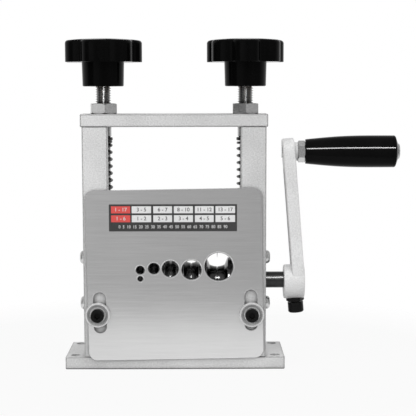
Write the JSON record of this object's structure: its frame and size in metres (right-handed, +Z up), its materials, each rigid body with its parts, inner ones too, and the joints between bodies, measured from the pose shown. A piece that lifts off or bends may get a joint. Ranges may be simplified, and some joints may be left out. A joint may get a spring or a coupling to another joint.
{
  "type": "wire stripper",
  "caption": "Bench wire stripper: a crank turns a grooved feed roller under sprung cutter discs, with a height-adjustable guide plate, star-knob pressure screws and a bolt-down base.",
  "frame": {"origin": "centre of the base plate's underside, midway between its four bench holes", "axes": "+Z up, -Y towards the guide plate's front, +X towards the crank"},
  "size_m": [0.2132, 0.0597, 0.2092],
  "materials": {
    "frame_aluminium": "satin",
    "crank_casting": "matt cast",
    "plate_steel": "brushed",
    "block_steel": "ground",
    "roller_steel": "turned and polished",
    "spacer_steel": "turned",
    "cutter_steel": "ground and polished",
    "spring_steel": "bright drawn wire",
    "bush_bronze": "turned bronze",
    "zinc_screws": "bright zinc plated",
    "zinc_nuts": "bright zinc plated",
    "polished_collar": "polished",
    "black_oxide": "black oxide, lightly oiled",
    "black_screws": "black oxide",
    "knob_plastic": "glossy black",
    "label_film": "printed film"
  },
  "bodies": {
    "frame": {"base_plate": "frame_aluminium", "left_upright": "frame_aluminium", "right_upright": "frame_aluminium", "top_bar": "frame_aluminium", "base_screws": "zinc_screws", "bar_screws": "zinc_screws", "left_bearing_block": "block_steel", "left_drive_bush": "bush_bronze", "left_side_screws": "zinc_screws", "left_lock_nut": "zinc_nuts", "left_clamp_collar": "polished_collar", "left_clamp_screw": "black_screws", "left_spring": "spring_steel", "right_bearing_block": "block_steel", "right_drive_bush": "bush_bronze", "right_side_screws": "zinc_screws", "right_lock_nut": "zinc_nuts", "right_clamp_collar": "polished_collar", "right_clamp_screw": "black_screws", "right_spring": "spring_steel"},
    "guide": {"guide_plate": "plate_steel", "label_plate": "label_film"},
    "carriage": {"left_slide_block": "block_steel", "left_cutter_bush": "bush_bronze", "right_slide_block": "block_steel", "right_cutter_bush": "bush_bronze"},
    "cutters": {"cutter_shaft": "block_steel", "cutter_disc_1": "cutter_steel", "cutter_disc_2": "cutter_steel", "cutter_disc_3": "cutter_steel", "cutter_disc_4": "cutter_steel", "cutter_disc_5": "cutter_steel", "cutter_spacer_1": "spacer_steel", "cutter_spacer_2": "spacer_steel", "cutter_spacer_3": "spacer_steel", "cutter_spacer_4": "spacer_steel", "cutter_spacer_5": "spacer_steel", "cutter_spacer_6": "spacer_steel"},
    "drive": {"drive_shaft": "black_oxide", "feed_roller": "roller_steel", "roller_screws": "black_screws", "crank_arm": "crank_casting", "crank_clamp_screw": "black_screws", "crank_clamp_nut": "black_screws", "handle_bolt": "zinc_screws", "handle_nut": "zinc_nuts"},
    "grip": {"handle_grip": "knob_plastic"},
    "left_seat": {"left_spring_seat": "block_steel"},
    "left_knob": {"left_adjusting_screw": "zinc_screws", "left_star_knob": "knob_plastic", "left_knob_insert": "bush_bronze"},
    "right_seat": {"right_spring_seat": "block_steel"},
    "right_knob": {"right_adjusting_screw": "zinc_screws", "right_star_knob": "knob_plastic", "right_knob_insert": "bush_bronze"}
  },
  "joints": [
    {"name": "crank_spin", "type": "hinge", "parent": "frame", "child": "drive", "pos_m": [0, -0.01, 0.0555], "axis": [1, 0, 0], "continuous": true},
    {"name": "grip_spin", "type": "hinge", "parent": "drive", "child": "grip", "pos_m": [0.112, -0.01, 0.1379], "axis": [1, 0, 0], "continuous": true},
    {"name": "cutter_lift", "type": "slide", "parent": "frame", "child": "carriage", "axis": [0, 0, 1], "range_m": [0, 0.01], "stiffness_N_per_m": 9700, "springref_m": -0.006, "deforming": ["left_spring", "right_spring"]},
    {"name": "cutter_spin", "type": "hinge", "parent": "carriage", "child": "cutters", "pos_m": [0, -0.01, 0.0849], "axis": [1, 0, 0], "continuous": true},
    {"name": "plate_height", "type": "slide", "parent": "frame", "child": "guide", "axis": [0, 0, 1], "range_m": [-0.006, 0.007]},
    {"name": "left_screw_feed", "type": "slide", "parent": "frame", "child": "left_seat", "axis": [0, 0, 1], "range_m": [-0.009, 0.006], "deforming": ["left_spring"]},
    {"name": "left_knob_turn", "type": "hinge", "parent": "left_seat", "child": "left_knob", "pos_m": [-0.045, -0.01, 0.19], "axis": [0, 0, 1], "range_deg": [-2161, 1441]},
    {"name": "right_screw_feed", "type": "slide", "parent": "frame", "child": "right_seat", "axis": [0, 0, 1], "range_m": [-0.009, 0.006], "deforming": ["right_spring"]},
    {"name": "right_knob_turn", "type": "hinge", "parent": "right_seat", "child": "right_knob", "pos_m": [0.045, -0.01, 0.19], "axis": [0, 0, 1], "range_deg": [-2161, 1441]}
  ],
  "couplings": [
    {"joint": "left_knob_turn", "follows": "left_screw_feed", "rad_per_m": 4188.8},
    {"joint": "right_knob_turn", "follows": "right_screw_feed", "rad_per_m": 4188.8}
  ]
}
